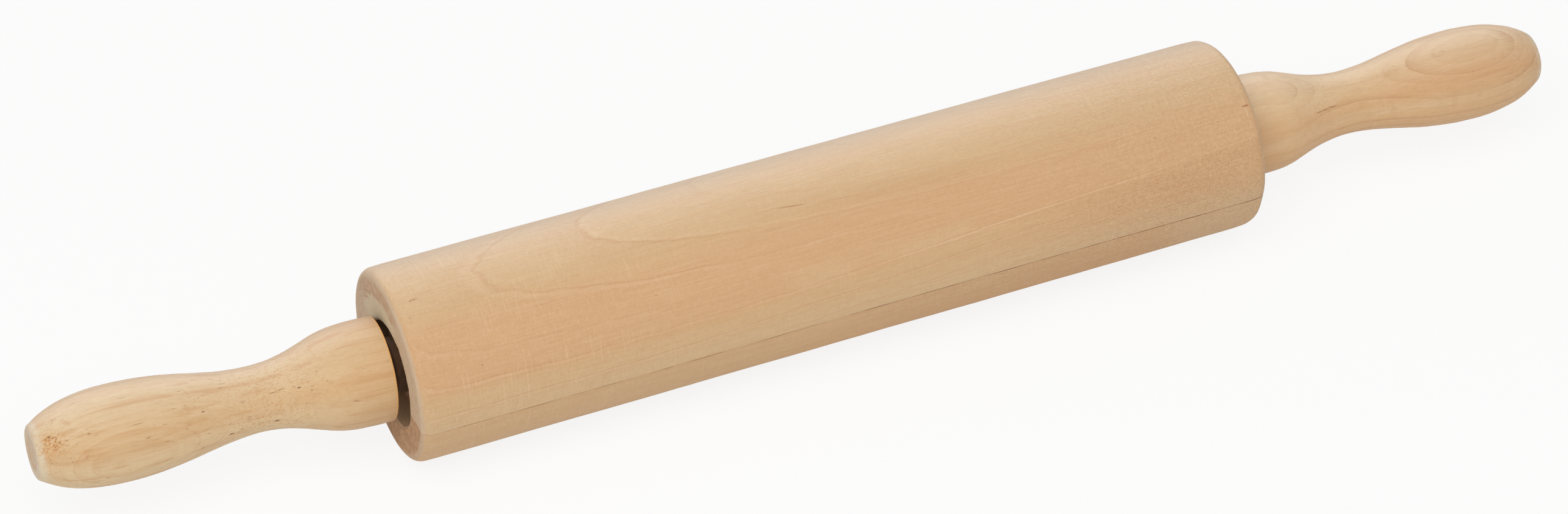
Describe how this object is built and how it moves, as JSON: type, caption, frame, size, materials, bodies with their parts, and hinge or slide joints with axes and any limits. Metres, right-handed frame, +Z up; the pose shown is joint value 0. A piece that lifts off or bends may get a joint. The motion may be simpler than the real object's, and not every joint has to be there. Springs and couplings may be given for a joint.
{
  "type": "rolling pin",
  "caption": "Wooden rolling pin: a cylindrical barrel that turns freely on a steel axle with a turned handle at each end.",
  "frame": {"origin": "on the surface that the barrel rests on, under the middle of the barrel", "axes": "+X along the barrel towards the right handle, +Z up, +Y away from the viewer"},
  "size_m": [0.455, 0.055, 0.055],
  "materials": {
    "barrel_wood": "sanded bare pale hardwood",
    "left_handle_wood": "sanded bare softwood, yellower than the barrel",
    "right_handle_wood": "sanded bare pale wood",
    "axle_steel": "drawn rod",
    "washer_steel": "zinc plated",
    "bush_nylon": "moulded dark brown nylon"
  },
  "bodies": {
    "barrel": {"barrel": "barrel_wood", "left_bush": "bush_nylon", "right_bush": "bush_nylon"},
    "axle_and_handles": {"axle": "axle_steel", "left_washer": "washer_steel", "right_washer": "washer_steel", "left_handle": "left_handle_wood", "right_handle": "right_handle_wood"}
  },
  "joints": [
    {"name": "barrel_spin", "type": "hinge", "parent": "barrel", "child": "axle_and_handles", "pos_m": [0, 0, 0.0275], "axis": [1, 0, 0], "continuous": true}
  ]
}
